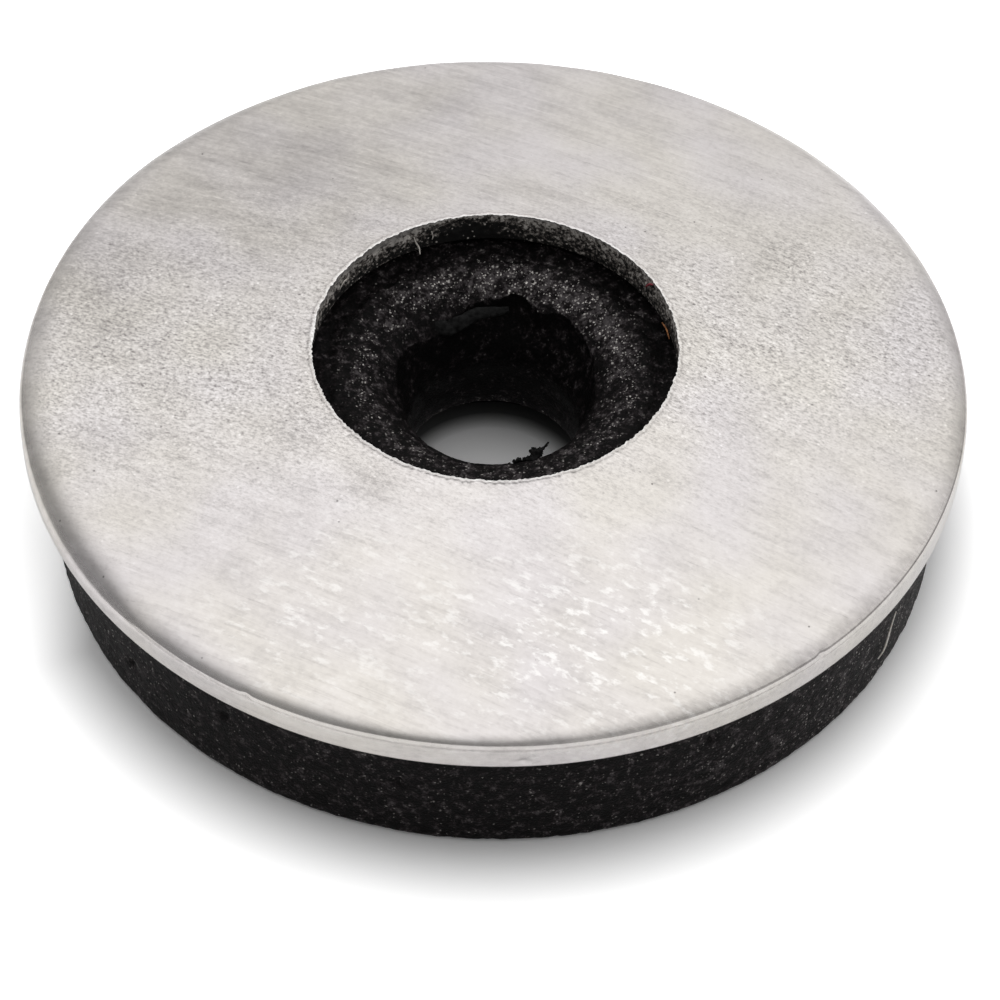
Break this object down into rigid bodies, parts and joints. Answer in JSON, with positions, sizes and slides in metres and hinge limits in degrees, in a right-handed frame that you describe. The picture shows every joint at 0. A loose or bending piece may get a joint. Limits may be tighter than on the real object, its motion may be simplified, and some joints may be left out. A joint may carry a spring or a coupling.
{
  "type": "bonded sealing washer",
  "caption": "Dished stainless steel washer with a black rubber ring bonded to its underside; a screw driven through its throat squeezes the rubber and seals the hole.",
  "frame": {"origin": "centre of the rubber's flat base, on the screw's axis", "axes": "+Z along the screw's axis, out of the base towards the dished metal face"},
  "size_m": [0.016, 0.016, 0.0036],
  "materials": {
    "stainless_steel": "cold-rolled stainless sheet, satin, with fine rolling lines and handling scratches",
    "epdm_rubber": "matt black vulcanised EPDM with pale mineral specks"
  },
  "bodies": {
    "root": {"metal_washer": "stainless_steel", "rubber_seal": "epdm_rubber"}
  },
  "joints": []
}
